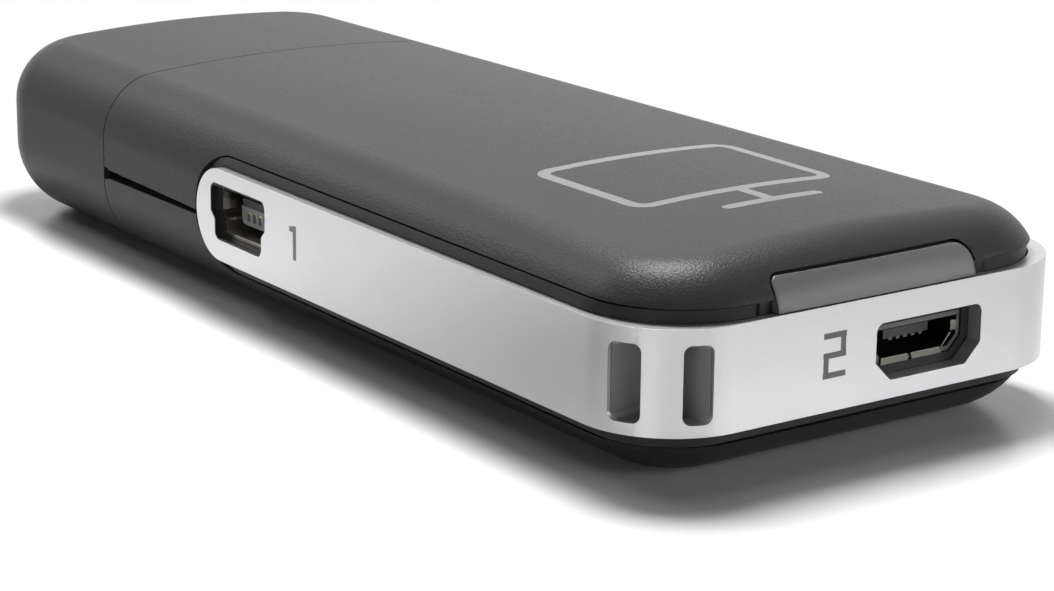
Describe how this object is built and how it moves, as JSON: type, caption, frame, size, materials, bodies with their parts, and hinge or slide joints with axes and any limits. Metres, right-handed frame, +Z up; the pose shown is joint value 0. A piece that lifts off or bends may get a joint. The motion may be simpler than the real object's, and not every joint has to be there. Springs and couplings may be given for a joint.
{
  "type": "hdmi stick computer",
  "caption": "Pocket stick computer with a capped HDMI plug, wrapped silver port band, lanyard post, function key and card slot.",
  "frame": {"origin": "under the middle of the body, on the surface that it rests on", "axes": "+X towards the end with the micro-USB port and the key, -X towards the end cap, +Y towards the card slot's side, +Z up"},
  "size_m": [0.092, 0.0368, 0.0145],
  "materials": {
    "charcoal_plastic": "fine spark-textured charcoal moulding",
    "frame_plastic": "satin dark moulding",
    "silver_paint": "satin metallic silver paint",
    "smoky_plastic": "smoky translucent moulding, satin face",
    "plated_steel": "nickel-plated folded sheet",
    "gold_contact": "gold-plated",
    "black_insulator": "glass-filled moulding",
    "circuit_board": "green solder mask over laminate",
    "zinc_screw": "zinc-plated",
    "spreader_alloy": "rolled sheet",
    "thermal_rubber": "soft grey-blue gap pad",
    "chip_plastic": "moulded chip package",
    "ceramic": "ceramic chip part",
    "clear_light": "clear light package"
  },
  "bodies": {
    "body": {"upper_cover": "charcoal_plastic", "lower_cover": "charcoal_plastic", "mid_frame": "frame_plastic", "silver_band": "silver_paint", "key_switch": "black_insulator", "main_board": "circuit_board", "board_screws": "zinc_screw", "hdmi_plug_shell": "plated_steel", "hdmi_plug_insulator": "black_insulator", "hdmi_plug_contacts": "gold_contact", "mini_usb_shell": "plated_steel", "mini_usb_tongue": "black_insulator", "mini_usb_contacts": "gold_contact", "micro_usb_shell": "plated_steel", "micro_usb_tongue": "black_insulator", "micro_usb_contacts": "gold_contact", "card_socket_base": "black_insulator", "card_socket_shell": "plated_steel", "processor": "chip_plastic", "thermal_pad": "thermal_rubber", "heat_spreader": "spreader_alloy", "memory_chips": "chip_plastic", "flash_chip": "chip_plastic", "power_chip": "chip_plastic", "wireless_module": "circuit_board", "wireless_shield": "plated_steel", "power_inductors": "chip_plastic", "capacitors": "ceramic", "crystals": "plated_steel", "status_lights": "clear_light", "antenna": "plated_steel"},
    "cap": {"end_cap": "charcoal_plastic"},
    "key": {"function_key": "smoky_plastic", "key_switch_plunger": "black_insulator"}
  },
  "joints": [
    {"name": "cap_slide", "type": "slide", "parent": "body", "child": "cap", "axis": [-1, 0, 0], "range_m": [0, 0.02]},
    {"name": "key_press", "type": "slide", "parent": "body", "child": "key", "axis": [-1, 0, 0], "range_m": [0, 0.0004], "stiffness_N_per_m": 600}
  ]
}
